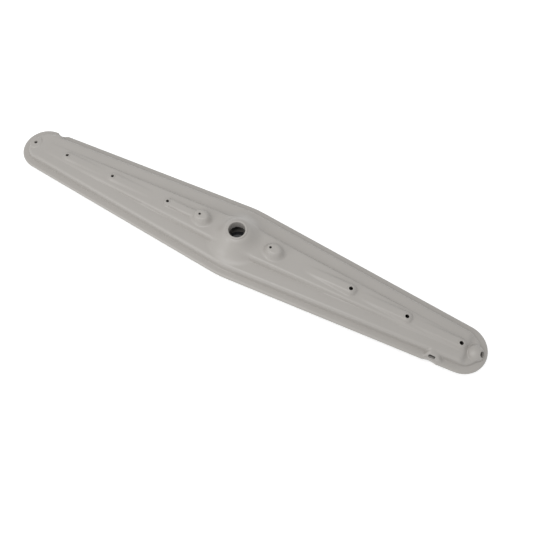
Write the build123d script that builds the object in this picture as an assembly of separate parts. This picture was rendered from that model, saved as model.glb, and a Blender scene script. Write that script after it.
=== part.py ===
from build123d import *
import os
from math import asin, atan, atan2, cos, degrees, hypot, radians, sin, tan

# Dishwasher spray arm: two moulded halves welded together along a flat rim, and the
# bearing that is pressed into the inlet under the hub. Water enters through the bearing,
# runs out along the channel in each arm and leaves through the jets.
# Millimetres. +X runs along the arm, +Z is up as it works, and the origin is on the hub's
# axis, in the lower face of the bearing, which is the face that the arm stands on.

# Plan of the rim: a long diamond with round tips
overall_length = 480.0
middle_width = 75.8
tip_radius = 22.1
middle_radius = 100.0

# Rim and walls
wall = 2.0
rim_half = 2.0
rim_width = 5.8
rim_edge_radius = 1.5
wall_draft = 13.0
shoulder_radius = 1.6

# Heights: the weld seam above the ground, and the rest above or below the seam
seam_height = 14.0
plateau_rise = 8.5
tray_depth = 9.0
tray_edge_radius = 2.5

# Tips: beyond a slanted step the body is a low terrace, by its length from the tip
terrace_rise = 5.0
terrace_length = 16.8
step_length = 4.0
step_radius = 3.0

# Water channel along the middle of the upper half: a long roof that sinks towards the tips
channel_rise = 14.8
channel_width = 32.6
channel_tip_width = 11.4
channel_side_angle = 28.0
channel_edge_radius = 1.4

# Hub: a bell with a raised lip round the hole for the fixing stud
hub_rise = 24.3
lip_rise = 1.2
lip_wall = 2.0
lip_edge_radius = 0.8
stud_hole_radius = 7.5
stud_collar_length = 9.3
hub_land_width = 1.4
hub_side_angle = 42.0
hub_edge_radius = 2.0
skirt_radius = 8.0
skirt_margin = 0.2

# Jet bosses, one each side of the hub: half axes of the foot and of the top
boss_distance = 37.0
boss_foot_length = 10.2
boss_foot_width = 8.0
boss_top_length = 5.8
boss_top_width = 5.0
boss_rise = 20.6
boss_edge_radius = 1.4
left_boss_jet_distance = 38.6
right_boss_jet_distance = 33.7
boss_jet_bore = 2.3
boss_jet_lean = 8.0

# Jets on the centre line, by their distance from the tip. Each stands at the high end of a
# pad, which sinks into the channel's roof towards the hub
left_jet_places = (166.4, 104.7, 51.9)
right_jet_places = (127.6, 74.8, 25.5)
left_jet_bore = 3.0
right_jet_bore = 3.6
jet_lean = 6.0
left_pad_rise = 1.7
right_pad_rise = 2.8
high_pad_rise = 3.5
pad_length = 40.0
jet_lip_width = 0.9
jet_lip_rise = 0.4

# Rib along the channel's roof, from the left arm's first jet to the boss
rib_rise = 2.5

# Pads and rib: width of the top, slope of the sides and rounding
ridge_width = 7.4
ridge_side_angle = 25.0
ridge_edge_radius = 0.8

# The right tip's nozzle is a dome with an outward bore, the left tip's is a low stub
dome_place = 11.2
dome_rise = 10.0
dome_radius = 8.4
dome_jet_bore = 5.4
dome_jet_lean = 40.0
stub_place = 12.5
stub_radius = 7.6
stub_rise = 6.3
stub_edge_radius = 1.6
stub_jet_bore = 3.4
stub_jet_lean = 8.0

# Drive nozzles at the edge, which spin the arm: distance from the tip, and how far their
# outer face at the top of the rim, and the rim's bite, are from the centre line
right_drive_place = 42.6
right_drive_reach = 21.4
right_notch_reach = 22.2
left_drive_place = 28.2
left_drive_reach = 18.2
left_notch_reach = 19.6
drive_length = 13.0
drive_drop = 0.25
drive_face_angle = 14.0
drive_edge_radius = 2.0
slot_length = 6.0
slot_height = 4.4
slot_rise = 5.0
notch_length = 12.6

# Inlet under the hub
inlet_bore_radius = 12.0
inlet_wall = 3.5
inlet_inside = 3.0
inlet_foot_width = 4.5

# Bearing: a sleeve with a flange, pressed into the inlet from below
bearing_bore_radius = 9.0
bearing_flange = 1.6
bearing_fit = 0.05
bearing_stand = 1.0
bearing_chamfer = 0.6

# How close two heights or places must be to count as the same when edges are picked
pick = 0.01

# Worked out from the sizes above
half_length = overall_length / 2
half_width = middle_width / 2
tip_x = half_length - tip_radius
edge_angle = atan2(half_width, tip_x) - asin(tip_radius / hypot(half_width, tip_x))
middle_y = half_width - middle_radius / cos(edge_angle)
draft = radians(wall_draft)
channel_side = radians(channel_side_angle)
face_lean = radians(drive_face_angle)
plateau_top = seam_height + plateau_rise
hub_top = seam_height + hub_rise
tray_floor = seam_height - tray_depth
inlet_top = tray_floor + wall + inlet_inside
step_foot = half_length - terrace_length
step_top = step_foot - step_length
channel_end = step_top - step_radius
channel_fall = (channel_rise - plateau_rise) / channel_end
right_drive = half_length - right_drive_place
left_drive = half_length - left_drive_place


def plan(inset):
    """The arm's outline seen from above, moved inwards by inset."""
    tip = tip_radius - inset
    middle = middle_radius - inset
    ax, ay = middle * sin(edge_angle), middle_y + middle * cos(edge_angle)
    bx, by = tip_x + tip * sin(edge_angle), tip * cos(edge_angle)
    outline = [
        ThreePointArc((-ax, ay), (0, middle_y + middle), (ax, ay)),
        Line((ax, ay), (bx, by)),
        ThreePointArc((bx, by), (tip_x + tip, 0), (bx, -by)),
        Line((bx, -by), (ax, -ay)),
        ThreePointArc((ax, -ay), (0, -middle_y - middle), (-ax, -ay)),
        Line((-ax, -ay), (-bx, -by)),
        ThreePointArc((-bx, -by), (-tip_x - tip, 0), (-bx, by)),
        Line((-bx, by), (-ax, ay)),
    ]
    return make_face(outline)


def tapered(inset, low, high):
    """A solid with the arm's outline and drafted walls, inset at the seam, between two heights."""
    sections = []
    for height in (low, high):
        narrower = abs(height - seam_height) * tan(draft)
        sections.append(Pos(0, 0, height) * plan(inset + narrower))
    return loft(sections, ruled=True)


def upright(radius, low, high):
    """A cylinder on the hub's axis between two heights."""
    return Pos(0, 0, (low + high) / 2) * Cylinder(radius, high - low)


def edges_at(solid, height):
    """The level edges of a solid at one height."""
    return solid.edges().filter_by_position(Axis.Z, height - pick, height + pick)


def rim(direction):
    """The rim's half above or below the seam, with its outer edge rounded."""
    plate = extrude(Pos(0, 0, seam_height) * plan(0), amount=rim_half, dir=(0, 0, direction))
    return fillet(edges_at(plate, seam_height + direction * rim_half), rim_edge_radius)


def side_profile(skin):
    """The body seen from the far side: the plateau, and at each tip a slanted step and a terrace."""
    top = plateau_top - skin
    terrace = seam_height + terrace_rise - skin
    slope = atan2(plateau_rise - terrace_rise, step_length)
    shift = skin * tan(slope / 2)
    right = [
        (step_top - shift, top),
        (step_foot - shift, terrace),
        (half_length, terrace),
        (half_length, seam_height),
    ]
    left = [(-x, y) for x, y in reversed(right)]
    profile = make_face(Polyline(*right, *left, close=True))
    upper = profile.vertices().filter_by(lambda v: abs(v.Y - top) < pick)
    profile = fillet(upper, step_radius - skin)
    lower = profile.vertices().filter_by(lambda v: abs(abs(v.X) - step_foot + shift) < pick)
    return fillet(lower, step_radius + skin)


def body(skin):
    """The upper half's drafted body, with its plateau and the terraces at the tips."""
    inset = rim_width + skin / cos(draft)
    solid = tapered(inset, seam_height, plateau_top + wall)
    reach = extrude(Plane.XZ * side_profile(skin), amount=middle_width, both=True)
    solid = solid & reach
    if skin > 0:
        return solid
    shoulder = solid.edges().filter_by(lambda e: e.bounding_box().min.Z > seam_height + pick)
    walls = solid.faces().filter_by(lambda f: abs(f.normal_at().Z - sin(draft)) < pick)
    outer = [edge for face in walls for edge in face.edges()]
    shoulder = shoulder.filter_by(lambda e: any(e.is_same(other) for other in outer))
    return fillet(shoulder, shoulder_radius)


def channel_top(distance):
    """Height of the channel's roof at a distance from the hub's axis."""
    return seam_height + channel_rise - channel_fall * distance


def channel_section(direction, share, skin):
    """The channel's trapezoid at a share of its length from the hub."""
    distance = share * channel_end
    base = plateau_top - 2 * wall
    top = channel_top(distance) - skin
    width = channel_width + share * (channel_tip_width - channel_width)
    foot = width / 2 - skin / cos(channel_side)
    low = foot + (plateau_top - base) * tan(channel_side)
    high = foot - (top - plateau_top) * tan(channel_side)
    x = direction * distance
    corners = [(x, low, base), (x, high, top), (x, -high, top), (x, -low, base)]
    return make_face(Polyline(*corners, close=True))


def channel(skin):
    """The channel's roof over both arms, with its long edges rounded."""
    halves = []
    for direction in (1, -1):
        sections = [channel_section(direction, share, skin) for share in (0, 1)]
        half = loft(sections, ruled=True)
        long_edges = half.edges().filter_by(lambda e: e.length > channel_end / 2)
        halves.append(fillet(long_edges.sort_by(Axis.Z)[-2:], channel_edge_radius))
    return halves[0] + halves[1]


def hub_bell(skin):
    """The hub's cone, which runs out into the plateau in a wide curve."""
    top = hub_top - lip_rise
    lean = radians(hub_side_angle)
    shift = skin * (tan(lean) - 1 / cos(lean))
    land = stud_hole_radius + lip_wall + hub_land_width + shift
    foot = land + (top - plateau_top) * tan(lean)
    end = foot + (skirt_radius + skin) * tan((radians(90) - lean) / 2) + skirt_margin
    points = [
        (0, top - skin),
        (land, top - skin),
        (foot, plateau_top - skin),
        (end, plateau_top - skin),
        (end, seam_height),
        (0, seam_height),
    ]
    profile = make_face(Polyline(*points, close=True))
    corner = profile.vertices().filter_by(lambda v: abs(v.X - land) < pick)
    profile = fillet(corner, hub_edge_radius)
    corner = profile.vertices().filter_by(lambda v: abs(v.X - foot) < pick)
    profile = fillet(corner, skirt_radius + skin)
    return revolve(Plane.XZ * profile, Axis.Z)


def boss(direction, skin):
    """One oval boss on the channel, with sloping sides, which carries a jet."""
    foot = channel_top(boss_distance)
    base = foot - wall
    top = seam_height + boss_rise - skin
    share = (foot - base) / (top + skin - foot)
    x = direction * boss_distance
    low_axes, high_axes = [], []
    for low, high in ((boss_foot_length, boss_top_length), (boss_foot_width, boss_top_width)):
        low_axes.append(low + (low - high) * share - skin)
        high_axes.append(high - skin / 2)
    solid = loft([Pos(x, 0, base) * Ellipse(*low_axes), Pos(x, 0, top) * Ellipse(*high_axes)])
    if skin > 0:
        return solid
    return fillet(edges_at(solid, top), boss_edge_radius)


def dome(skin):
    """The right tip's round nozzle body, down to the seam."""
    x = half_length - dome_place
    ball = Pos(x, 0, seam_height + dome_rise - dome_radius) * Sphere(dome_radius - skin)
    return ball & Pos(x, 0, seam_height + dome_radius) * Box(*[2 * dome_radius] * 3)


def stub(skin):
    """The left tip's low round nozzle body, down to the seam."""
    height = stub_rise - skin
    radius = stub_radius - skin
    place = Pos(stub_place - half_length, 0, seam_height + height / 2)
    solid = place * Cone(radius, radius - height * tan(draft), height)
    if skin > 0:
        return solid
    return fillet(edges_at(solid, seam_height + height), stub_edge_radius)


def drive_reach(reach, rise):
    """How far a drive nozzle's leaning face is from the centre line, at a rise above the seam."""
    return reach + (rim_half - rise) * tan(face_lean)


def drive_body(direction, distance, reach, skin):
    """The bulge in the side wall that holds a drive slot, almost flush with the plateau."""
    sections = []
    for rise in (0, plateau_rise - drive_drop - skin):
        length = drive_length - 2 * (rise * tan(draft) + skin / cos(draft))
        width = drive_reach(reach, rise) - skin / cos(face_lean)
        base = Rectangle(length, width, align=(Align.CENTER, Align.MIN))
        sections.append(Pos(distance, 0, seam_height + rise) * base)
    solid = loft(sections, ruled=True)
    if skin == 0:
        outer = solid.edges().filter_by(lambda e: e.center().Y > width - drive_edge_radius)
        outer = outer.filter_by(lambda e: e.center().Z > seam_height + rim_half)
        solid = fillet(outer, drive_edge_radius)
    return turned(solid, direction)


def turned(solid, direction):
    """Puts what is drawn for a drive nozzle on the far side of the left arm, or half round."""
    solid = mirror(solid, about=Plane.YZ)
    if direction > 0:
        return Rot(0, 0, 180) * solid
    return solid


def upper_form(skin):
    """The upper half above the seam as one solid, with every outer face moved in by skin."""
    solid = body(skin) + hub_bell(skin) + channel(skin) + dome(skin) + stub(skin)
    solid = solid + drive_body(1, right_drive, right_drive_reach, skin)
    solid = solid + drive_body(-1, left_drive, left_drive_reach, skin)
    return solid + boss(1, skin) + boss(-1, skin)


def ridge(length, rise):
    """A long ridge with round ends and sloping sides, which starts a little below the ground."""
    sections = []
    for height in (-wall / 2, rise):
        width = ridge_width + 2 * (rise - height) * tan(radians(ridge_side_angle))
        sections.append(Pos(0, 0, height) * SlotOverall(length + width, width))
    return fillet(edges_at(loft(sections, ruled=True), rise), ridge_edge_radius)


def pad(direction, distance, rise, diameter):
    """The pad under a jet, which sinks into the roof towards the hub, and the jet's lip."""
    slope = rise / pad_length - channel_fall
    middle = distance - pad_length / 2
    base = channel_top(distance) - slope * pad_length / 2
    tilt = Rot(0, -direction * degrees(atan(slope)), 0)
    solid = Pos(direction * middle, 0, base) * tilt * ridge(pad_length, rise)
    return solid + jet_lip(direction * distance, channel_top(distance) + rise, diameter)


def jet_lip(x, top, diameter):
    """The low ring round a jet's mouth."""
    radius = diameter / 2 + jet_lip_width
    height = wall / 2 + jet_lip_rise
    return Pos(x, 0, top + jet_lip_rise - height / 2) * Cone(radius + jet_lip_rise, radius, height)


def rib():
    """The rib along the left arm's roof, from its first jet with its lip to the boss."""
    far = half_length - left_jet_places[0]
    middle = (far + boss_distance) / 2
    tilt = Rot(0, -degrees(atan(channel_fall)), 0)
    solid = Pos(-middle, 0, channel_top(middle)) * tilt * ridge(far - boss_distance, rib_rise)
    return solid + jet_lip(-far, channel_top(far) + rib_rise, left_jet_bore)


def ridges():
    """Everything that stands on the channel's roof: the rib, and the other jets' pads."""
    solid = rib()
    for place in left_jet_places[1:]:
        solid = solid + pad(-1, half_length - place, left_pad_rise, left_jet_bore)
    for place in right_jet_places[1:]:
        solid = solid + pad(1, half_length - place, right_pad_rise, right_jet_bore)
    return solid + pad(1, half_length - right_jet_places[0], high_pad_rise, right_jet_bore)


def bore(x, top, diameter, sideways, outwards=0):
    """A jet's bore through the wall at x, leaning sideways or outwards, in degrees."""
    return Pos(x, 0, top) * Rot(sideways, outwards, 0) * Cylinder(diameter / 2, 6 * wall)


def jet_bores():
    """All the bores on the centre line."""
    bores = []
    for distance in (half_length - place for place in left_jet_places):
        bores.append(bore(-distance, channel_top(distance), left_jet_bore, -jet_lean))
    for distance in (half_length - place for place in right_jet_places):
        bores.append(bore(distance, channel_top(distance), right_jet_bore, jet_lean))
    boss_top = seam_height + boss_rise
    bores.append(bore(-left_boss_jet_distance, boss_top, boss_jet_bore, -boss_jet_lean))
    bores.append(bore(right_boss_jet_distance, boss_top, boss_jet_bore, boss_jet_lean))
    stub_top = seam_height + stub_rise
    bores.append(bore(stub_place - half_length, stub_top, stub_jet_bore, 0, -stub_jet_lean))
    return bores


def dome_bore():
    """The right tip's bore, from inside the dome outwards."""
    lean = radians(dome_jet_lean)
    centre = seam_height + dome_rise - dome_radius
    middle = dome_radius - wall / 2
    place = Pos(half_length - dome_place + middle * sin(lean), 0, centre + middle * cos(lean))
    return place * Rot(0, dome_jet_lean, 0) * Cylinder(dome_jet_bore / 2, 3 * wall)


def drive_slot(direction, distance, reach):
    """The slot through a drive body's outer wall, square to its leaning face."""
    inwards = (0, -cos(face_lean), -sin(face_lean))
    centre = (distance, drive_reach(reach, slot_rise), seam_height + slot_rise)
    plane = Plane(origin=centre, x_dir=(1, 0, 0), z_dir=inwards)
    shape = RectangleRounded(slot_length, slot_height, slot_height / 3)
    return turned(extrude(plane * shape, amount=2 * wall, both=True), direction)


def notch(direction, distance, reach):
    """The shallow bite out of the rim in front of a drive slot."""
    corners = []
    for x in (distance - notch_length / 2, distance + notch_length / 2):
        corners.append((x, tip_radius / cos(edge_angle) + (tip_x - x) * tan(edge_angle)))
    bite = ThreePointArc(corners[0], (distance, reach), corners[1])
    beyond = [(x, y + rim_width) for x, y in reversed(corners)]
    face = make_face([bite, Polyline(corners[1], *beyond, corners[0])])
    cutter = extrude(Pos(0, 0, seam_height) * face, amount=2 * rim_half, both=True)
    return turned(cutter, direction)


def notches():
    """Both bites out of the rim, cut through both halves."""
    right = notch(1, right_drive, right_notch_reach)
    return right + notch(-1, left_drive, left_notch_reach)


def upper_shell():
    """Upper half: body, channel, hub, bosses, pads, nozzles and every jet."""
    solid = upper_form(0) + rim(1) + ridges()
    solid = solid + jet_lip(stub_place - half_length, seam_height + stub_rise, stub_jet_bore)
    solid = solid - upper_form(wall)
    solid = solid + upright(stud_hole_radius + lip_wall, hub_top - stud_collar_length, hub_top)
    solid = solid - dome_bore()
    solid = solid - upright(stud_hole_radius, hub_top - stud_collar_length - wall, hub_top)
    rims = edges_at(solid, hub_top).filter_by(GeomType.CIRCLE)
    solid = fillet(rims, lip_edge_radius)
    for cutter in jet_bores():
        solid = solid - cutter
    solid = solid - drive_slot(1, right_drive, right_drive_reach)
    solid = solid - drive_slot(-1, left_drive, left_drive_reach)
    return solid - notches()


def lower_form(skin):
    """The lower half below the seam as one solid, with every outer face moved in by skin."""
    floor = tray_floor + skin
    solid = tapered(rim_width + skin / cos(draft), seam_height, floor)
    return fillet(edges_at(solid, floor), tray_edge_radius - skin / 2)


def lower_shell():
    """Lower half: a shallow tray with the inlet collar under the hub."""
    solid = lower_form(0) + rim(-1) - lower_form(wall)
    radius = inlet_bore_radius + inlet_wall
    foot_height = tray_floor + wall - bearing_flange
    foot = Cone(radius, radius + inlet_foot_width, foot_height)
    solid = solid + Pos(0, 0, bearing_flange + foot_height / 2) * foot
    solid = solid + upright(radius, bearing_flange, inlet_top)
    solid = solid - upright(inlet_bore_radius, 0, inlet_top)
    return solid - notches()


def hub_bearing():
    """The bearing sleeve with its flange, on which the arm spins."""
    top = inlet_top + bearing_stand
    sleeve = upright(inlet_bore_radius - bearing_fit, 0, top)
    flange = upright(inlet_bore_radius + inlet_wall, 0, bearing_flange)
    solid = sleeve + flange - upright(bearing_bore_radius, 0, top)
    bore_edges = solid.edges().filter_by(GeomType.CIRCLE)
    bore_edges = bore_edges.filter_by(lambda e: abs(e.radius - bearing_bore_radius) < pick)
    return chamfer(bore_edges, bearing_chamfer)


parts = {
    "upper_shell": upper_shell(),
    "lower_shell": lower_shell(),
    "hub_bearing": hub_bearing(),
}
os.makedirs("parts", exist_ok=True)
for name, part in parts.items():
    export_step(part, f"parts/{name}.step")
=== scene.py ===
from math import asin, atan2, cos, hypot, pi, radians, sin, tan

import bmesh
import bpy
import numpy as np
from bpy.props import FloatProperty, FloatVectorProperty, PointerProperty
from mathutils import Matrix, Vector


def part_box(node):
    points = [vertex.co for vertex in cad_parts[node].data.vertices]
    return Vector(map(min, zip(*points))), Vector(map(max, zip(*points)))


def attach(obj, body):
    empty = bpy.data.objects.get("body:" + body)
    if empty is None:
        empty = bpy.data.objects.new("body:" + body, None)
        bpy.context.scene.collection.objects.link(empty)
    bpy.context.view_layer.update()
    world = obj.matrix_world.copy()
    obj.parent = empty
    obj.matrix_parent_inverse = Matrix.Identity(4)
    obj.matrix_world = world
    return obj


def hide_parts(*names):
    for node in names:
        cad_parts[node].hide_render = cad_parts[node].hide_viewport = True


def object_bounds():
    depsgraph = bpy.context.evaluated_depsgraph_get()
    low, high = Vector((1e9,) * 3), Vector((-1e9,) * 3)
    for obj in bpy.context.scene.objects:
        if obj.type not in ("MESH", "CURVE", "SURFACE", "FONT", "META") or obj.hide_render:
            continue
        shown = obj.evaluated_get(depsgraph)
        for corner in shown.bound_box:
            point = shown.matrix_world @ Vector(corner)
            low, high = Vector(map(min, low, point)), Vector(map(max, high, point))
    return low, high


bl_info = {
    "name": "Dishwasher spray arm",
    "version": (1, 0, 0),
    "blender": (4, 5, 0),
    "location": "3D View > Sidebar > Spray Arm",
    "description": "Gives the packed spray arm its moulded upper half, finishes and a studio",
    "category": "Object",
}

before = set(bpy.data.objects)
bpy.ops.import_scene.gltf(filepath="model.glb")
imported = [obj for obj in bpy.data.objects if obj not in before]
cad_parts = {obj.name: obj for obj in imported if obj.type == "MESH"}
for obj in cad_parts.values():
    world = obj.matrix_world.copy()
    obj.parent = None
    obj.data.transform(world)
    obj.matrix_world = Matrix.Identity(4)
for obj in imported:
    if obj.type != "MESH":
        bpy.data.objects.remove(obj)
cad_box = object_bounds()

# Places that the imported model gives: the weld seam, the hub's top and the half length
shell_low, shell_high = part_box("upper_shell")
seam = shell_low.z
hub_rise = shell_high.z - seam
half_length = shell_high.x

# How far the cutters of the openings stand out of the surface, and how deep they go
cutter_top = 0.003
jet_depth = 0.006
stub_depth = 0.007
collar_depth = 0.012
dome_reach = 0.004
slot_reach = 0.004
slot_depth = 0.006

# Steps of the upper half's net: along the arm, and round each tip
fine_step = 0.0009
coarse_step = 0.0023
hub_fine_zone = 0.05
nozzle_fine_zone = 0.0065
tip_rays = 81


# Properties

def length(name, description, millimetres):
    """A length, given in millimetres and kept in metres."""
    return FloatProperty(
        name=name,
        description=description,
        default=millimetres / 1000,
        min=0,
        precision=5,
        subtype="DISTANCE",
        unit="LENGTH",
    )


def angle(name, description, degrees):
    """An angle, given in degrees."""
    return FloatProperty(
        name=name,
        description=description,
        default=radians(degrees),
        subtype="ANGLE",
        unit="ROTATION",
    )


def linear(code):
    """An sRGB hex colour, such as #a9a5a0, as linear red, green and blue."""
    channels = [int(code[place : place + 2], 16) / 255 for place in (1, 3, 5)]
    return [c / 12.92 if c <= 0.04045 else ((c + 0.055) / 1.055) ** 2.4 for c in channels]


def colour(name, description, code):
    """A colour, given as an sRGB hex value."""
    return FloatVectorProperty(
        name=name,
        description=description,
        default=linear(code),
        min=0,
        max=1,
        subtype="COLOR",
    )


class RimSizes(bpy.types.PropertyGroup):
    """The flat rim and the outline in plan"""

    corner_width: length("Corner width", "Width of the diamond at its sharp middle corners", 75.8)
    tip_radius: length("Tip radius", "Radius of the round tips", 22.1)
    middle_radius: length("Middle radius", "Radius that rounds the corners beside the hub", 100)
    half_height: length("Half height", "Height of the rim above the seam", 2.0)
    edge_radius: length("Edge radius", "Rounding of the rim's outer edge", 1.8)
    foot_softness: length("Foot softness", "Blend between the rim and the wall", 1.0)
    weld_groove: length("Weld groove", "Depth of the fine groove along the weld", 0.25)


class BodySizes(bpy.types.PropertyGroup):
    """The stepped body"""

    rim_width: length("Rim width", "From the outline to the wall, at the seam", 5.8)
    wall: length("Wall", "Thickness of the moulding", 2.0)
    draft: angle("Draft", "Lean of the side walls", 13)
    plateau_rise: length("Plateau rise", "Height of the plateau above the seam", 8.5)
    terrace_rise: length("Terrace rise", "Height of the low tips above the seam", 5.0)
    terrace_length: length("Terrace length", "From the tip to the foot of the step", 16.8)
    step_length: length("Step length", "Length of the slanted step", 4.0)
    right_step_softness: length("Right step softness", "Blend at the right step's ends", 1.6)
    left_step_softness: length("Left step softness", "Blend at the left step's ends", 6)
    shoulder_radius: length("Shoulder radius", "Rounding of the plateau's edge", 3.0)


class ChannelSizes(bpy.types.PropertyGroup):
    """The water channel along the middle"""

    rise: length("Rise", "Height of the roof above the seam at the hub", 14.8)
    width: length("Width", "Width of its foot at the hub", 32.6)
    tip_width: length("Tip width", "Width of its foot at its end", 11.4)
    end: length("End", "From the hub's axis to where the roof meets the plateau", 216.2)
    side_angle: angle("Side angle", "Lean of its sides", 17)
    edge_radius: length("Edge radius", "Rounding of its long edges", 2.6)
    foot_softness: length("Foot softness", "Blend between its sides and the plateau", 1.4)


class RidgeSizes(bpy.types.PropertyGroup):
    """The pads under the jets and the rib on the left arm"""

    width: length("Width", "Width of the top of the pads and the rib", 7.0)
    pad_side_angle: angle("Pad side angle", "Lean of the pads' sides", 35)
    pad_edge_radius: length("Pad edge radius", "Rounding of the pads' top edges", 2.2)
    rib_side_angle: angle("Rib side angle", "Lean of the rib's sides", 16)
    rib_edge_radius: length("Rib edge radius", "Rounding of the rib's top edges", 1.5)
    softness: length("Softness", "Blend of their feet with the roof", 1.2)
    pad_length: length("Pad length", "From a jet to where its pad sinks into the roof", 40)
    left_pad_rise: length("Left pad rise", "Height of the left arm's pads over the roof", 1.7)
    right_pad_rise: length("Right pad rise", "Height of the right arm's pads over the roof", 2.8)
    high_pad_rise: length("High pad rise", "The same for the right arm's first jet", 3.5)
    rib_rise: length("Rib rise", "Height of the left arm's rib over the roof", 2.5)


class HubSizes(bpy.types.PropertyGroup):
    """The hub, its cone and its lipped hole"""

    hole_radius: length("Hole radius", "Radius of the hole for the fixing stud", 7.5)
    lip_wall: length("Lip wall", "Wall of the lip and collar round the hole", 2.0)
    lip_rise: length("Lip rise", "Height of the lip over the cone", 0.8)
    lip_edge: length("Lip edge", "Rounding of the lip's edges", 0.8)
    collar_length: length("Collar length", "Depth of the collar inside the hole", 9.3)
    land_width: length("Land width", "Level ring round the lip", 1.4)
    side_angle: angle("Side angle", "Lean of the cone's side from the vertical", 42)
    edge_softness: length("Edge softness", "Rounding of the cone's top edge", 3.0)
    foot_softness: length("Foot softness", "Blend of the cone with channel and plateau", 5.5)


class BossSizes(bpy.types.PropertyGroup):
    """The two oval bosses beside the hub"""

    distance: length("Distance", "From the hub's axis to a boss", 37)
    foot_length: length("Foot length", "Half the length of the foot", 10.2)
    foot_width: length("Foot width", "Half the width of the foot", 8.0)
    top_length: length("Top length", "Half the length of the top", 5.8)
    top_width: length("Top width", "Half the width of the top", 5.0)
    rise: length("Rise", "Height of the top above the seam", 20.6)
    edge_softness: length("Edge softness", "Rounding of the top edge", 2.2)
    foot_softness: length("Foot softness", "Blend of the foot with the roof", 2.4)
    left_jet: length("Left jet", "From the hub's axis to the left boss's jet", 38.6)
    right_jet: length("Right jet", "From the hub's axis to the right boss's jet", 33.7)


class JetSizes(bpy.types.PropertyGroup):
    """The places, bores and mouths of the jets"""

    left_first: length("Left first", "Left arm's first jet, from the tip", 166.4)
    left_second: length("Left second", "Left arm's second jet, from the tip", 104.7)
    left_third: length("Left third", "Left arm's third jet, from the tip", 51.9)
    right_first: length("Right first", "Right arm's first jet, from the tip", 127.6)
    right_second: length("Right second", "Right arm's second jet, from the tip", 74.8)
    right_third: length("Right third", "Right arm's third jet, from the tip", 25.5)
    left_bore: length("Left bore", "Diameter of the left arm's jets", 3.0)
    right_bore: length("Right bore", "Diameter of the right arm's jets", 3.6)
    boss_bore: length("Boss bore", "Diameter of the jets in the bosses", 2.3)
    lean: angle("Lean", "How far the jets lean sideways", 6)
    boss_lean: angle("Boss lean", "How far the bosses' jets lean sideways", 8)
    lip_width: length("Lip width", "Width of the ring round a jet's mouth", 0.9)
    lip_rise: length("Lip rise", "Height of that ring", 0.4)
    land: length("Land", "Wall left at a jet's or slot's mouth, before it widens inside", 0.8)
    relief: length("Relief", "How much wider it is inside, on each side", 1.1)


class TipSizes(bpy.types.PropertyGroup):
    """The nozzles at the tips"""

    dome_place: length("Dome place", "From the right tip to the dome's axis", 11.2)
    dome_rise: length("Dome rise", "Height of the dome above the seam", 10.0)
    dome_radius: length("Dome radius", "Radius of the dome", 8.4)
    dome_bore: length("Dome bore", "Diameter of its outward jet", 5.4)
    dome_lean: angle("Dome lean", "Lean of that jet from the vertical", 40)
    stub_place: length("Stub place", "From the left tip to the stub's axis", 12.5)
    stub_rise: length("Stub rise", "Height of the stub above the seam", 6.3)
    stub_radius: length("Stub radius", "Radius of the stub at the seam", 7.6)
    stub_bore: length("Stub bore", "Diameter of the stub's jet", 3.4)
    stub_lean: angle("Stub lean", "Lean of that jet outwards", 8)
    softness: length("Softness", "Rounding and blending at the tips", 3.6)


class DriveSizes(bpy.types.PropertyGroup):
    """The drive nozzles at the edge and the bites in the rim"""

    right_place: length("Right place", "Right drive nozzle, from the tip", 42.6)
    right_reach: length("Right reach", "Its outer face, from the centre line", 21.4)
    right_bite: length("Right bite", "The rim's bite, from the centre line", 22.2)
    left_place: length("Left place", "Left drive nozzle, from the tip", 28.2)
    left_reach: length("Left reach", "Its outer face, from the centre line", 18.2)
    left_bite: length("Left bite", "The rim's bite, from the centre line", 19.6)
    bulge_length: length("Bulge length", "Length of the bulge at the seam", 13.0)
    face_angle: angle("Face angle", "Lean of its outer face", 14)
    tip_side_angle: angle("Tip side angle", "Lean of its side towards the tip", 40)
    tip_side_reach: length("Tip side reach", "From its middle to that side's foot", 9.5)
    softness: length("Softness", "Rounding of the bulge", 4.0)
    foot_softness: length("Foot softness", "Blend of the bulge with wall and rim", 4.0)
    slot_length: length("Slot length", "Length of the slot", 6.0)
    slot_height: length("Slot height", "Height of the slot", 4.4)
    slot_rise: length("Slot rise", "The slot's middle above the seam", 5.0)
    bite_length: length("Bite length", "Length of the rim's bite", 12.6)


class Finishes(bpy.types.PropertyGroup):
    """Colours and pattern sizes"""

    shell: colour("Shell", "Moulded polypropylene of both halves", "#a8a49f")
    shell_shade: colour("Shell shade", "The same where the melt ran cooler", "#a4a09b")
    bearing: colour("Bearing", "Moulded acetal of the bearing", "#4c4c4f")
    floor: colour("Floor", "Studio floor", "#ececec")
    grain: length("Grain", "Spacing of the moulded grain", 0.55)
    flow: length("Flow", "Size of the flow patches in the moulding", 26)


class SprayArm(bpy.types.PropertyGroup):
    """All settings of the spray arm"""

    rim: PointerProperty(type=RimSizes)
    body: PointerProperty(type=BodySizes)
    channel: PointerProperty(type=ChannelSizes)
    ridge: PointerProperty(type=RidgeSizes)
    hub: PointerProperty(type=HubSizes)
    boss: PointerProperty(type=BossSizes)
    jet: PointerProperty(type=JetSizes)
    tip: PointerProperty(type=TipSizes)
    drive: PointerProperty(type=DriveSizes)
    finish: PointerProperty(type=Finishes)


# Materials

def feed(node, sockets):
    """Gives sockets, named or numbered, their values or links to another node's outputs."""
    for name, value in sockets.items():
        if isinstance(value, bpy.types.NodeSocket):
            node.id_data.links.new(value, node.inputs[name])
        else:
            node.inputs[name].default_value = value


def add_node(tree, kind, sockets, **settings):
    """Adds a node with its settings, and feeds its sockets."""
    node = tree.nodes.new(kind)
    for name, value in settings.items():
        setattr(node, name, value)
    feed(node, sockets)
    return node


def new_material(name):
    """An empty node material with a Principled shader joined to its output."""
    material = bpy.data.materials.new(name)
    material.use_nodes = True
    shader = material.node_tree.nodes["Principled BSDF"]
    return material, material.node_tree, shader


def opaque(colour_value):
    """A colour property as a socket value."""
    return (*colour_value, 1)


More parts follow.
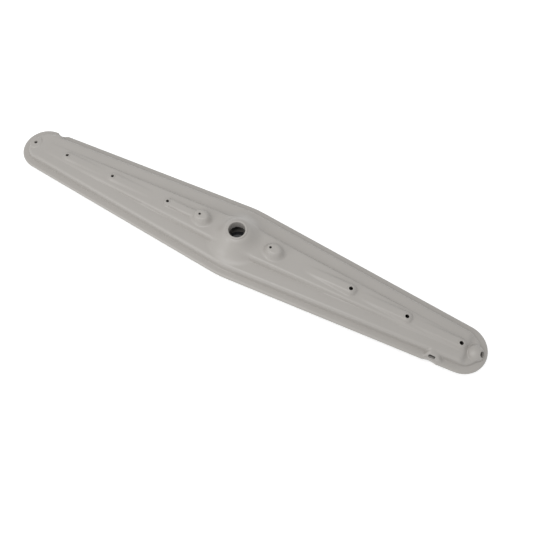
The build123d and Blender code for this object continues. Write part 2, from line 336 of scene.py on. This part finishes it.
def moulded_polypropylene(finish):
    """Injection moulded polypropylene: a dull satin skin with fine grain and faint flow patches."""
    material, tree, shader = new_material("polypropylene_injection_moulded_satin")
    place = add_node(tree, "ShaderNodeTexCoord", {}).outputs["Object"]
    flow_sockets = {"Vector": place, "Scale": 1 / finish.flow, "Detail": 3, "Roughness": 0.5}
    flow = add_node(tree, "ShaderNodeTexNoise", flow_sockets)
    tint_sockets = {0: flow.outputs["Fac"], 6: opaque(finish.shell_shade), 7: opaque(finish.shell)}
    tint = add_node(tree, "ShaderNodeMix", tint_sockets, data_type="RGBA")
    grain_sockets = {"Vector": place, "Scale": 1 / finish.grain, "Detail": 2, "Roughness": 0.6}
    grain = add_node(tree, "ShaderNodeTexNoise", grain_sockets).outputs["Fac"]
    gloss = add_node(tree, "ShaderNodeMapRange", {"Value": grain, "To Min": 0.32, "To Max": 0.4})
    bump = add_node(tree, "ShaderNodeBump", {"Height": grain, "Strength": 0.12, "Distance": 0.0002})
    surface = {
        "Base Color": tint.outputs[2],
        "Roughness": gloss.outputs["Result"],
        "Normal": bump.outputs["Normal"],
        "IOR": 1.49,
    }
    feed(shader, surface)
    return material


def moulded_acetal(finish):
    """Moulded acetal: dark and smooth, a little glossier, with a faint unevenness of the skin."""
    material, tree, shader = new_material("acetal_moulded_smooth")
    place = add_node(tree, "ShaderNodeTexCoord", {}).outputs["Object"]
    skin_sockets = {"Vector": place, "Scale": 1 / finish.grain, "Detail": 3, "Roughness": 0.5}
    skin = add_node(tree, "ShaderNodeTexNoise", skin_sockets).outputs["Fac"]
    gloss = add_node(tree, "ShaderNodeMapRange", {"Value": skin, "To Min": 0.26, "To Max": 0.4})
    bump = add_node(tree, "ShaderNodeBump", {"Height": skin, "Strength": 0.06, "Distance": 0.0001})
    surface = {
        "Base Color": opaque(finish.bearing),
        "Roughness": gloss.outputs["Result"],
        "Normal": bump.outputs["Normal"],
        "IOR": 1.48,
    }
    feed(shader, surface)
    return material


def seen_ray(tree):
    """One for the rays that see the background: camera, glossy and transmission rays."""
    path = add_node(tree, "ShaderNodeLightPath", {})
    rays = {0: path.outputs["Is Camera Ray"], 1: path.outputs["Is Glossy Ray"]}
    either = add_node(tree, "ShaderNodeMath", rays, operation="MAXIMUM")
    rays = {0: either.outputs[0], 1: path.outputs["Is Transmission Ray"]}
    return add_node(tree, "ShaderNodeMath", rays, operation="MAXIMUM").outputs[0]


def studio_floor(finish):
    """Matt white paper: it looks white to the camera and keeps only the object's shadow."""
    material, tree, shader = new_material("paper_matt_white")
    feed(shader, {"Base Color": opaque(finish.floor), "Roughness": 0.9})
    glow = add_node(tree, "ShaderNodeEmission", {"Color": (1, 1, 1, 1), "Strength": 0.5})
    lit = add_node(tree, "ShaderNodeAddShader", {0: shader.outputs[0], 1: glow.outputs[0]})
    mixed = {"Fac": seen_ray(tree), 1: shader.outputs[0], 2: lit.outputs[0]}
    mix = add_node(tree, "ShaderNodeMixShader", mixed)
    feed(tree.nodes["Material Output"], {"Surface": mix.outputs[0]})
    return material


# The arm's outline, seen from above

def edge_lean(rim):
    """Angle between the arm's straight edges and its centre line."""
    corner = rim.corner_width / 2
    tip_x = half_length - rim.tip_radius
    return atan2(corner, tip_x) - asin(rim.tip_radius / hypot(corner, tip_x))


def half_width(x, rim):
    """From the centre line to the outline at x, between the centres of the round tips."""
    lean = edge_lean(rim)
    tip_x = half_length - rim.tip_radius
    straight = (rim.tip_radius + (tip_x - abs(x)) * sin(lean)) / cos(lean)
    centre = rim.corner_width / 2 - rim.middle_radius / cos(lean)
    if abs(x) < rim.middle_radius * sin(lean):
        return centre + (rim.middle_radius**2 - x * x) ** 0.5
    return straight


def rim_distance(x, y, rim):
    """How far each place lies inside the outline."""
    lean = edge_lean(rim)
    tip_x = half_length - rim.tip_radius
    x, y = np.abs(x), np.abs(y)
    along, across = x - tip_x, y
    straight = rim.tip_radius - along * sin(lean) - across * cos(lean)
    at_tip = along * cos(lean) - across * sin(lean) > 0
    distance = np.where(at_tip, rim.tip_radius - np.hypot(along, across), straight)
    centre = rim.corner_width / 2 - rim.middle_radius / cos(lean)
    at_middle = x < (y - centre) * tan(lean)
    return np.where(at_middle, rim.middle_radius - np.hypot(x, y - centre), distance)


# The upper half's form, as heights above the seam

def lower_of(a, b, softness):
    """The lower of two forms, rounded where they meet."""
    near = np.clip(softness - np.abs(a - b), 0, None) / softness
    return np.minimum(a, b) - near * near * softness / 4


def higher_of(a, b, softness):
    """The higher of two forms, blended where they meet."""
    return -lower_of(-a, -b, softness)


def rounded_edge(top, side, lean, radius):
    """A top cut by a side that leans from the vertical, with the edge between them rounded."""
    reach = radius * tan((pi / 2 - lean) / 2)
    inwards = (side - top) * tan(lean)
    past = np.clip(reach - inwards, 0, radius)
    arc = top - radius + np.sqrt(radius**2 - past**2)
    return np.where(inwards < -reach * sin(lean), side, arc)


def step_slope(arm):
    """How steeply the step at each tip falls."""
    body = arm.body
    return (body.plateau_rise - body.terrace_rise) / body.step_length


def step_softness(x, body):
    """The blend of the step on each arm."""
    return np.where(x > 0, body.right_step_softness, body.left_step_softness)


def drive_side(x, y, direction, arm, skin):
    """The sides of the bulge that holds a drive slot: near on the right arm, far on the left."""
    drive = arm.drive
    place = drive.right_place if direction > 0 else drive.left_place
    reach = drive.right_reach if direction > 0 else drive.left_reach
    along = direction * x - half_length + place
    across = -direction * y
    face = arm.rim.half_height + (reach - skin - across) / tan(drive.face_angle)
    hub_side = (drive.bulge_length / 2 - skin + along) / tan(arm.body.draft)
    tip_fall = (drive.tip_side_reach - skin - along) / tan(drive.tip_side_angle)
    tip_side = arm.rim.half_height + tip_fall
    ends = lower_of(hub_side, tip_side, drive.softness)
    return np.where(across > 0, lower_of(face, ends, drive.softness), -1)


def body_form(x, y, arm, skin):
    """Drafted walls, the plateau, and at each tip the step and the terrace."""
    body = arm.body
    inside = rim_distance(x, y, arm.rim) - body.rim_width - skin / cos(body.draft)
    step_top = half_length - body.terrace_length - body.step_length
    slope = body.plateau_rise - (np.abs(x) - step_top) * step_slope(arm)
    softness = step_softness(x, body)
    top = lower_of(slope, body.plateau_rise, softness)
    top = higher_of(top, body.terrace_rise, softness)
    side = inside / tan(body.draft)
    for direction in (1, -1):
        side = higher_of(side, drive_side(x, y, direction, arm, skin), arm.drive.foot_softness)
    return rounded_edge(top - skin, side, body.draft, body.shoulder_radius)


def roof_height(distance, arm):
    """Height of the channel's roof above the seam at a distance from the hub's axis."""
    channel = arm.channel
    fall = (channel.rise - arm.body.plateau_rise) / channel.end
    return channel.rise - fall * distance


def channel_form(x, y, arm, skin):
    """The channel's sloping roof and leaning sides."""
    channel = arm.channel
    roof = roof_height(np.abs(x), arm) - skin
    foot = channel.width + (channel.tip_width - channel.width) * np.abs(x) / channel.end
    foot = foot / 2 - skin / cos(channel.side_angle)
    side = arm.body.plateau_rise + (foot - np.abs(y)) / tan(channel.side_angle)
    end = arm.body.plateau_rise - skin + (channel.end - np.abs(x)) * step_slope(arm)
    form = rounded_edge(roof, side, channel.side_angle, channel.edge_radius)
    return lower_of(form, end, step_softness(x, arm.body))


def hub_form(x, y, arm, skin):
    """The hub's cone, below its lip."""
    hub = arm.hub
    top = hub_rise - hub.lip_rise - skin
    land = hub.hole_radius + hub.lip_wall + hub.land_width
    land += skin * (tan(hub.side_angle) - 1 / cos(hub.side_angle))
    side = top - (np.hypot(x, y) - land) / tan(hub.side_angle)
    return lower_of(side, top, hub.edge_softness)


def boss_form(x, y, direction, arm, skin):
    """An oval boss beside the hub."""
    boss = arm.boss
    foot = roof_height(boss.distance, arm)
    along = (x - direction * boss.distance) / (boss.foot_length - skin)
    across = y / (boss.foot_width - skin)
    narrowing = (boss.top_length + boss.top_width) / (boss.foot_length + boss.foot_width)
    share = (1 - np.hypot(along, across)) / (1 - narrowing)
    side = foot + (boss.rise - foot) * share - skin
    return lower_of(side, boss.rise - skin, boss.edge_softness)


def dome_form(x, y, arm, skin):
    """The right tip's round nozzle."""
    tip = arm.tip
    reach = np.hypot(x - half_length + tip.dome_place, y)
    radius = tip.dome_radius - skin
    ball = tip.dome_rise - tip.dome_radius + np.sqrt(np.clip(radius**2 - reach**2, 0, None))
    return lower_of(ball, (radius - reach) / tan(arm.body.draft), tip.softness)


def stub_form(x, y, arm, skin):
    """The left tip's low round nozzle."""
    tip = arm.tip
    reach = np.hypot(x + half_length - tip.stub_place, y)
    side = (tip.stub_radius - skin - reach) / tan(arm.body.draft)
    return lower_of(side, tip.stub_rise - skin, tip.softness)


def ridge_form(x, y, start, end, width, lean, radius):
    """A ridge with round ends whose top runs from one (x, height) to another."""
    share = np.clip((x - start[0]) / (end[0] - start[0]), 0, 1)
    nearest = start[0] + share * (end[0] - start[0])
    top = start[1] + share * (end[1] - start[1])
    side = top - (np.hypot(x - nearest, y) - width / 2) / tan(lean)
    return rounded_edge(top, side, lean, radius)


def jet_table(arm):
    """The channel's jets: direction, distance from the hub's axis, height of the pad, bore."""
    jet, ridge = arm.jet, arm.ridge
    rows = [
        (-1, jet.left_first, ridge.rib_rise, jet.left_bore),
        (-1, jet.left_second, ridge.left_pad_rise, jet.left_bore),
        (-1, jet.left_third, ridge.left_pad_rise, jet.left_bore),
        (1, jet.right_first, ridge.high_pad_rise, jet.right_bore),
        (1, jet.right_second, ridge.right_pad_rise, jet.right_bore),
        (1, jet.right_third, ridge.right_pad_rise, jet.right_bore),
    ]
    return [(side, half_length - place, rise, bore) for side, place, rise, bore in rows]


def ridges_form(z, x, y, arm):
    """Adds the rib and the jets' pads to the form z."""
    ridge = arm.ridge
    for number, (direction, distance, rise, _) in enumerate(jet_table(arm)):
        outer = (direction * distance, roof_height(distance, arm) + rise)
        if number == 0:
            inner = (direction * arm.boss.distance, roof_height(arm.boss.distance, arm) + rise)
            sides = (ridge.rib_side_angle, ridge.rib_edge_radius)
        else:
            near = distance - ridge.pad_length
            inner = (direction * near, roof_height(near, arm))
            sides = (ridge.pad_side_angle, ridge.pad_edge_radius)
        z = higher_of(z, ridge_form(x, y, outer, inner, ridge.width, *sides), ridge.softness)
    return z


def rim_form(x, y, rim):
    """The flat rim with its rounded outer edge."""
    inside = np.clip(rim_distance(x, y, rim), 0, rim.edge_radius)
    drop = rim.edge_radius - np.sqrt(rim.edge_radius**2 - (rim.edge_radius - inside) ** 2)
    return rim.half_height - drop


def upper_form(x, y, arm, skin):
    """The whole upper half's height above the seam, its faces moved in by skin."""
    z = body_form(x, y, arm, skin)
    z = higher_of(z, channel_form(x, y, arm, skin), arm.channel.foot_softness)
    if skin == 0:
        z = ridges_form(z, x, y, arm)
    for direction in (1, -1):
        z = higher_of(z, boss_form(x, y, direction, arm, skin), arm.boss.foot_softness)
    z = higher_of(z, hub_form(x, y, arm, skin), arm.hub.foot_softness)
    z = higher_of(z, dome_form(x, y, arm, skin), arm.tip.softness)
    z = higher_of(z, stub_form(x, y, arm, skin), arm.tip.softness)
    if skin > 0:
        return np.clip(z, 0, None)
    return higher_of(z, rim_form(x, y, arm.rim), arm.rim.foot_softness)


# Meshes

def across_places(width, arm):
    """Places from the centre line to the outline at width, close together at rim and wall."""
    foot = arm.body.rim_width
    rim_rows = np.array([0, 0.07, 0.2, 0.45, 0.8, 1.2, 1.6]) / 1000
    flat_rows = np.linspace(0.0024, foot - 0.0008, 5)
    wall_rows = np.linspace(foot - 0.0004, foot + 0.0045, 22)
    outer = np.concatenate([rim_rows, flat_rows, wall_rows])
    inner = np.linspace(0, 1, 28)[:-1]
    return np.concatenate([inner * (width - outer[-1]), width - outer[::-1]])


def along_places(arm):
    """Places along the arm between the tips' centres, close together at hub and nozzles."""
    tip_x = half_length - arm.rim.tip_radius
    drives = [half_length - arm.drive.right_place, arm.drive.left_place - half_length]
    jets = [direction * distance for direction, distance, _, _ in jet_table(arm)]
    places = [-tip_x]
    while places[-1] < tip_x - fine_step / 2:
        x = places[-1]
        nearest = min(abs(x - place) for place in drives + jets)
        fine = abs(x) < hub_fine_zone or nearest < nozzle_fine_zone
        places.append(x + (fine_step if fine else coarse_step))
    places = np.array(places)
    return (places + tip_x) * 2 * tip_x / (places[-1] + tip_x) - tip_x


def middle_net(arm):
    """The net between the tips' centres: places, faces, and the places' numbers by column."""
    columns = along_places(arm)
    places = []
    for x in columns:
        half = across_places(half_width(x, arm.rim), arm)
        y = np.concatenate([-half[:0:-1], half])
        places.append(np.stack([np.full_like(y, x), y], 1))
    rows = len(places[0])
    index = np.arange(len(columns) * rows).reshape(len(columns), rows)
    faces = []
    for one, two in zip(index, index[1:]):
        for j in range(rows - 1):
            faces.append((one[j], two[j], two[j + 1], one[j + 1]))
    return np.concatenate(places), faces, index


def tip_net(direction, column, first, arm):
    """The rays of a round tip, from its end column: new places, faces and the outer edge."""
    rim = arm.rim
    tip_x = half_length - rim.tip_radius
    middle = len(column) // 2
    places = []
    ends = [column[middle::-1], column[middle:]]
    rays = [ends[0] if direction > 0 else ends[1]]
    for turn in np.linspace(-pi / 2, pi / 2, tip_rays)[1:-1]:
        beyond = max(abs(turn) - (pi / 2 - edge_lean(rim)), 0)
        half = across_places(rim.tip_radius / cos(beyond), arm)[1:]
        places.append(np.stack([tip_x + half * cos(turn), half * sin(turn)], 1) * direction)
        rays.append(np.concatenate([[column[middle]], np.arange(first, first + len(half))]))
        first += len(half)
    rays.append(ends[1] if direction > 0 else ends[0])
    faces = []
    for one, two in zip(rays, rays[1:]):
        faces.append((one[0], one[1], two[1]))
        for j in range(1, len(one) - 1):
            faces.append((one[j], one[j + 1], two[j + 1], two[j]))
    return np.concatenate(places), faces, [ray[-1] for ray in rays]


def arm_net(arm):
    """The net that both faces of the upper half share: places, faces and the outer edge."""
    net, faces, index = middle_net(arm)
    edges = []
    for direction, column in ((1, index[-1]), (-1, index[0])):
        places, more, edge = tip_net(direction, column, len(net), arm)
        net = np.concatenate([net, places])
        faces += more
        edges.append(edge)
    near_edge = list(index[1:-1, 0])
    far_edge = list(index[1:-1, -1][::-1])
    return net, faces, near_edge + edges[0] + far_edge + edges[1]


def weld_groove(net, edge, rim):
    """The net with its outer edge drawn in a little, which leaves a fine groove at the weld."""
    tip_x = half_length - rim.tip_radius
    drawn = net.copy()
    middle = np.column_stack([np.clip(net[edge, 0], -tip_x, tip_x), np.zeros(len(edge))])
    out = net[edge] - middle
    drawn[edge] -= out / np.linalg.norm(out, axis=1)[:, None] * rim.weld_groove
    return drawn


def new_mesh(name, vertices, faces):
    """An object with a smooth mesh, whose faces all look outwards."""
    mesh = bpy.data.meshes.new(name)
    mesh.from_pydata([tuple(v) for v in vertices], [], [tuple(int(i) for i in f) for f in faces])
    work = bmesh.new()
    work.from_mesh(mesh)
    bmesh.ops.recalc_face_normals(work, faces=work.faces)
    work.to_mesh(mesh)
    work.free()
    mesh.polygons.foreach_set("use_smooth", [True] * len(mesh.polygons))
    piece = bpy.data.objects.new(name, mesh)
    bpy.context.scene.collection.objects.link(piece)
    return piece


def joined(parts):
    """Several (vertices, faces) pairs as one."""
    vertices, faces = [], []
    for part_vertices, part_faces in parts:
        faces += [tuple(i + len(vertices) for i in face) for face in part_faces]
        vertices += [tuple(v) for v in part_vertices]
    return vertices, faces


def stacked(loops):
    """A closed solid through several loops of as many points each."""
    count = len(loops[0])
    vertices = [Vector(point) for loop in loops for point in loop]
    last = len(vertices) - count
    faces = [tuple(range(count)), tuple(range(last, last + count))]
    for first in range(0, last, count):
        for i in range(count):
            j = (i + 1) % count
            faces.append((first + i, first + j, first + count + j, first + count + i))
    return vertices, faces


def rod(middle, lean, profile):
    """A round cutter through middle, turned by lean, with (radius, height) steps."""
    turns = [2 * pi * step / 40 for step in range(40)]
    loops = []
    for radius, height in profile:
        ring = [Vector((radius * cos(turn), radius * sin(turn), height)) for turn in turns]
        loops.append([Vector(middle) + lean @ point for point in ring])
    return stacked(loops)


def jet_rod(mouth, lean, bore, arm):
    """The cutter of a jet: a short bore that widens below its land."""
    wide = bore / 2 + arm.jet.relief
    land = -arm.jet.land
    profile = [(bore / 2, cutter_top), (bore / 2, land), (wide, land), (wide, land - jet_depth)]
    return rod(mouth, lean, profile)


def revolved(profile, steps, place):
    """A ring turned from a closed loop of (radius, height) points, put in place by a matrix."""
    vertices, faces = [], []
    count = len(profile)
    for step in range(steps):
        a = 2 * pi * step / steps
        for radius, height in profile:
            vertices.append(place @ Vector((radius * cos(a), radius * sin(a), height)))
        for i in range(count):
            j = (i + 1) % count
            after = (step + 1) % steps * count
            faces.append((step * count + i, step * count + j, after + j, after + i))
    return vertices, faces


def sideways(turn):
    """Leans upright things by an angle round the arm's length."""
    return Matrix.Rotation(turn, 3, "X")


def outwards(turn):
    """Leans upright things by an angle along the arm."""
    return Matrix.Rotation(turn, 3, "Y")


def channel_jets(arm):
    """The jets on the channel: the middle of each mouth, its lean and its bore."""
    jets = []
    for direction, distance, rise, bore in jet_table(arm):
        mouth = Vector((direction * distance, 0, seam + roof_height(distance, arm) + rise))
        jets.append((mouth, sideways(direction * arm.jet.lean), bore))
    return jets


def boss_jets(arm):
    """The jets in the bosses."""
    jet = arm.jet
    left = Vector((-arm.boss.left_jet, 0, seam + arm.boss.rise))
    right = Vector((arm.boss.right_jet, 0, seam + arm.boss.rise))
    return [
        (left, sideways(-jet.boss_lean), jet.boss_bore),
        (right, sideways(jet.boss_lean), jet.boss_bore),
    ]


def stub_jet(arm):
    """The jet in the left tip's stub."""
    tip = arm.tip
    mouth = Vector((tip.stub_place - half_length, 0, seam + tip.stub_rise))
    return mouth, outwards(-tip.stub_lean), tip.stub_bore


def dome_rod(arm):
    """The cutter of the right tip's outward bore."""
    tip = arm.tip
    middle = Vector((half_length - tip.dome_place, 0, seam + tip.dome_rise - tip.dome_radius))
    radius = tip.dome_bore / 2
    profile = [(radius, tip.dome_radius + dome_reach), (radius, tip.dome_radius - dome_reach)]
    return rod(middle, outwards(tip.dome_lean), profile)


def bite_prism(direction, arm):
    """The cutter of the rim's shallow bite in front of a drive slot."""
    drive, rim = arm.drive, arm.rim
    place = drive.right_place if direction > 0 else drive.left_place
    bite = drive.right_bite if direction > 0 else drive.left_bite
    centre = half_length - place
    half = drive.bite_length / 2
    ends = [(centre + side * half, half_width(centre + side * half, rim)) for side in (-1, 1)]
    chord_middle = (ends[0][1] + ends[1][1]) / 2
    depth = chord_middle - bite
    loop = []
    for step in range(25):
        share = step / 24
        x = ends[0][0] + share * 2 * half
        y = ends[0][1] + share * (ends[1][1] - ends[0][1]) - depth * (1 - (2 * share - 1) ** 2)
        loop.append((x, y))
    loop += [(ends[1][0], ends[1][1] + 0.01), (ends[0][0], ends[0][1] + 0.01)]
    low = seam - 2 * rim.half_height
    heights = (low, low + 4 * rim.half_height)
    sided = [(direction * x, -direction * y) for x, y in loop]
    return stacked([[(x, y, height) for x, y in sided] for height in heights])


def slot_prism(direction, arm):
    """The cutter of a drive slot, square to the bulge's leaning face."""
    drive = arm.drive
    place = drive.right_place if direction > 0 else drive.left_place
    reach = drive.right_reach if direction > 0 else drive.left_reach
    face_y = reach - (drive.slot_rise - arm.rim.half_height) * tan(drive.face_angle)
    x = direction * (half_length - place)
    middle = Vector((x, -direction * face_y, seam + drive.slot_rise))
    out = Vector((0, -direction * cos(drive.face_angle), sin(drive.face_angle)))
    along = Vector((1, 0, 0))
    up = along.cross(out) * direction
    corner = drive.slot_height / 3
    land, relief = arm.jet.land, arm.jet.relief
    profile = ((-slot_reach, 0), (land, 0), (land, relief), (slot_depth, relief))
    loops = []
    for depth, wider in profile:
        half_x = drive.slot_length / 2 - corner + wider
        half_y = drive.slot_height / 2 - corner
        loop = []
        for quarter, (sx, sy) in enumerate(((1, 1), (-1, 1), (-1, -1), (1, -1))):
            for step in range(7):
                turn = (quarter + step / 6) * pi / 2
                across = sx * half_x + corner * cos(turn)
                height = sy * half_y + corner * sin(turn)
                loop.append(middle + along * across + up * height - out * depth)
        loops.append(loop)
    return stacked(loops)


def upper_shell(arm):
    """The upper half before its openings are cut: vertices and faces."""
    net, faces, edge = arm_net(arm)
    x, y = net[:, 0], net[:, 1]
    outer = upper_form(x, y, arm, 0)
    inner = np.minimum(upper_form(x, y, arm, arm.body.wall), outer - arm.body.wall / 2)
    inner = np.clip(inner, 0, None)
    heights = np.concatenate([outer, inner]) + seam
    places = np.concatenate([net, weld_groove(net, edge, arm.rim)])
    count = len(net)
    faces += [tuple(count + i for i in reversed(face)) for face in faces]
    for one, two in zip(edge, edge[1:] + edge[:1]):
        faces.append((one, count + one, count + two, two))
    return np.column_stack([places, heights]), faces


def opening_cutters(arm):
    """The cutters of all the jets, the hub's hole, the drive slots and the rim's bites."""
    cutters = [jet_rod(*jet, arm) for jet in channel_jets(arm) + boss_jets(arm)]
    mouth, lean, bore = stub_jet(arm)
    cutters.append(rod(mouth, lean, [(bore / 2, cutter_top), (bore / 2, -stub_depth)]))
    collar = arm.hub.hole_radius + arm.hub.lip_wall / 2
    hub_profile = [(collar, cutter_top), (collar, -collar_depth)]
    cutters.append(rod((0, 0, seam + hub_rise), Matrix.Identity(3), hub_profile))
    cutters.append(dome_rod(arm))
    for direction in (1, -1):
        cutters += [bite_prism(direction, arm), slot_prism(direction, arm)]
    return cutters


def cut(piece, cutters):
    """Takes the cutters out of a piece and applies the result."""
    tool = new_mesh("cutters", *joined(cutters))
    change = piece.modifiers.new("openings", "BOOLEAN")
    change.operation = "DIFFERENCE"
    change.solver = "MANIFOLD"
    change.object = tool
    graph = bpy.context.evaluated_depsgraph_get()
    result = bpy.data.meshes.new_from_object(piece.evaluated_get(graph))
    piece.modifiers.clear()
    if len(result.polygons) in (0, len(piece.data.polygons)):
        raise RuntimeError(f"The openings couldn't be cut out of {piece.name}")
    old = piece.data
    piece.data = result
    bpy.data.meshes.remove(old)
    tool_mesh = tool.data
    bpy.data.objects.remove(tool)
    bpy.data.meshes.remove(tool_mesh)
    result.polygons.foreach_set("use_smooth", [True] * len(result.polygons))
    result.set_sharp_from_angle(angle=radians(38))


def dress(piece, material):
    """Gives a new piece its material and slot, and lets it ride with the arm."""
    piece.data.materials.clear()
    piece.data.materials.append(material)
    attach(piece, "root")


def dress_node(name, material):
    """Gives a CAD node its material."""
    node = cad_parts[name]
    node.data.materials.clear()
    node.data.materials.append(material)


def shared_material(name, make, finish):
    """A material that several pieces use, made once."""
    return bpy.data.materials.get(name) or make(finish)


def shell_material(arm):
    """The finish of both moulded halves."""
    name = "polypropylene_injection_moulded_satin"
    return shared_material(name, moulded_polypropylene, arm.finish)


# Operators

class SPRAYARM_OT_upper_half(bpy.types.Operator):
    """Makes the softly moulded upper half with its openings, in place of the plain solid"""

    bl_idname = "spray_arm.upper_half"
    bl_label = "Upper half"

    def execute(self, context):
        arm = context.scene.spray_arm
        piece = new_mesh("upper_half", *upper_shell(arm))
        cut(piece, opening_cutters(arm))
        dress(piece, shell_material(arm))
        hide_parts("upper_shell")
        return {"FINISHED"}


class SPRAYARM_OT_hub_collar(bpy.types.Operator):
    """Makes the rounded lip of the stud hole and the collar inside it"""

    bl_idname = "spray_arm.hub_collar"
    bl_label = "Hub collar"

    def execute(self, context):
        arm = context.scene.spray_arm
        hub = arm.hub
        low, high = seam + hub_rise - hub.collar_length, seam + hub_rise
        inner, outer = hub.hole_radius, hub.hole_radius + hub.lip_wall
        profile = [(inner, low), (outer, low)]
        for step in range(9):
            a = step / 8 * pi / 2
            radius = outer - hub.lip_edge * (1 - cos(a))
            profile.append((radius, high - hub.lip_edge * (1 - sin(a))))
        for step in range(9):
            a = pi / 2 + step / 8 * pi / 2
            radius = inner + hub.lip_edge * (1 + cos(a))
            profile.append((radius, high - hub.lip_edge * (1 - sin(a))))
        piece = new_mesh("hub_collar", *revolved(profile, 96, Matrix.Identity(4)))
        piece.data.set_sharp_from_angle(angle=radians(50))
        dress(piece, shell_material(arm))
        return {"FINISHED"}


class SPRAYARM_OT_jet_lips(bpy.types.Operator):
    """Makes the low rings round the jets' mouths"""

    bl_idname = "spray_arm.jet_lips"
    bl_label = "Jet lips"

    def execute(self, context):
        arm = context.scene.spray_arm
        jet = arm.jet
        rings = []
        for mouth, _, bore in [*channel_jets(arm), stub_jet(arm)]:
            inner, outer = bore / 2, bore / 2 + jet.lip_width
            low = -jet.lip_rise * 2
            profile = [
                (inner, low),
                (outer + jet.lip_rise, low),
                (outer + jet.lip_rise * 0.6, jet.lip_rise * 0.35),
                (outer, jet.lip_rise * 0.85),
                (outer - jet.lip_rise * 0.6, jet.lip_rise),
                (inner + jet.lip_rise * 0.5, jet.lip_rise),
                (inner, jet.lip_rise * 0.7),
            ]
            rings.append(revolved(profile, 48, Matrix.Translation(mouth)))
        piece = new_mesh("jet_lips", *joined(rings))
        piece.data.set_sharp_from_angle(angle=radians(60))
        dress(piece, shell_material(arm))
        return {"FINISHED"}


class SPRAYARM_OT_lower_half(bpy.types.Operator):
    """Gives the lower half its moulded finish"""

    bl_idname = "spray_arm.lower_half"
    bl_label = "Lower half"

    def execute(self, context):
        dress_node("lower_shell", shell_material(context.scene.spray_arm))
        return {"FINISHED"}


class SPRAYARM_OT_bearing(bpy.types.Operator):
    """Gives the bearing its smooth acetal finish"""

    bl_idname = "spray_arm.bearing"
    bl_label = "Bearing"

    def execute(self, context):
        finish = context.scene.spray_arm.finish
        dress_node("hub_bearing", shared_material("acetal_moulded_smooth", moulded_acetal, finish))
        return {"FINISHED"}


class SPRAYARM_OT_studio(bpy.types.Operator):
    """Makes the floor, the soft lights, the white surroundings and the camera"""

    bl_idname = "spray_arm.studio"
    bl_label = "Studio"

    def execute(self, context):
        scene = context.scene
        scene.view_settings.view_transform = "Standard"
        finish = scene.spray_arm.finish
        half = 6
        corners = [(-half, -half, 0), (half, -half, 0), (half, half, 0), (-half, half, 0)]
        floor = new_mesh("studio_floor", corners, [(0, 1, 2, 3)])
        gap = 0.0002
        floor.location.z = cad_box[0][2] - gap
        floor.data.materials.append(studio_floor(finish))
        self.surroundings(scene)
        self.softbox(scene, "top_softbox", place=(-0.06, -0.2, 0.6), size=0.4, power=1.4)
        self.softbox(scene, "near_softbox", place=(-0.5, -0.75, 0.48), size=0.45, power=1.6)
        self.camera(scene)
        return {"FINISHED"}

    def surroundings(self, scene):
        """Light grey all round for the object, and white for the camera."""
        world = bpy.data.worlds.new("studio_white")
        world.use_nodes = True
        scene.world = world
        tree = world.node_tree
        light = tree.nodes["Background"]
        feed(light, {"Color": (0.98, 0.99, 1, 1), "Strength": 0.66})
        white = add_node(tree, "ShaderNodeBackground", {"Color": (1, 1, 1, 1), "Strength": 1})
        mixed = {"Fac": seen_ray(tree), 1: light.outputs[0], 2: white.outputs[0]}
        mix = add_node(tree, "ShaderNodeMixShader", mixed)
        feed(tree.nodes["World Output"], {"Surface": mix.outputs[0]})

    def softbox(self, scene, name, place, size, power):
        """A square soft light that looks at the hub."""
        light = bpy.data.lights.new(name, "AREA")
        light.size = size
        light.energy = power
        box = bpy.data.objects.new(name, light)
        scene.collection.objects.link(box)
        box.location = place
        box.rotation_euler = (-Vector(place)).to_track_quat("-Z", "Y").to_euler()

    def camera(self, scene):
        """The camera at the photograph's place and angle."""
        view = bpy.data.cameras.new("camera")
        view.lens = 39.76
        view.sensor_width = 36
        view.shift_x = -0.00047
        view.shift_y = 0.00056
        camera = bpy.data.objects.new("camera", view)
        scene.collection.objects.link(camera)
        camera.location = (0.13634, -0.20138, 0.50143)
        camera.rotation_euler = (radians(23.93), 0, radians(27.84))
        scene.camera = camera


class SPRAYARM_PT_panel(bpy.types.Panel):
    """Lists the pieces of the spray arm"""

    bl_idname = "SPRAYARM_PT_panel"
    bl_label = "Spray arm"
    bl_space_type = "VIEW_3D"
    bl_region_type = "UI"
    bl_category = "Spray Arm"

    def draw(self, context):
        for operator in OPERATORS:
            self.layout.operator(operator.bl_idname)


GROUPS = (
    RimSizes,
    BodySizes,
    ChannelSizes,
    RidgeSizes,
    HubSizes,
    BossSizes,
    JetSizes,
    TipSizes,
    DriveSizes,
    Finishes,
    SprayArm,
)
OPERATORS = (
    SPRAYARM_OT_upper_half,
    SPRAYARM_OT_hub_collar,
    SPRAYARM_OT_jet_lips,
    SPRAYARM_OT_lower_half,
    SPRAYARM_OT_bearing,
    SPRAYARM_OT_studio,
)


def register():
    """Registers every class and the scene's property."""
    for group in (*GROUPS, *OPERATORS, SPRAYARM_PT_panel):
        bpy.utils.register_class(group)
    bpy.types.Scene.spray_arm = PointerProperty(type=SprayArm)


def unregister():
    """Takes them away again."""
    del bpy.types.Scene.spray_arm
    for group in reversed((*GROUPS, *OPERATORS, SPRAYARM_PT_panel)):
        bpy.utils.unregister_class(group)


def main():
    """Builds every piece and the stage."""
    register()
    bpy.ops.spray_arm.upper_half()
    bpy.ops.spray_arm.hub_collar()
    bpy.ops.spray_arm.jet_lips()
    bpy.ops.spray_arm.lower_half()
    bpy.ops.spray_arm.bearing()
    bpy.ops.spray_arm.studio()


if __name__ == "__main__":
    main()
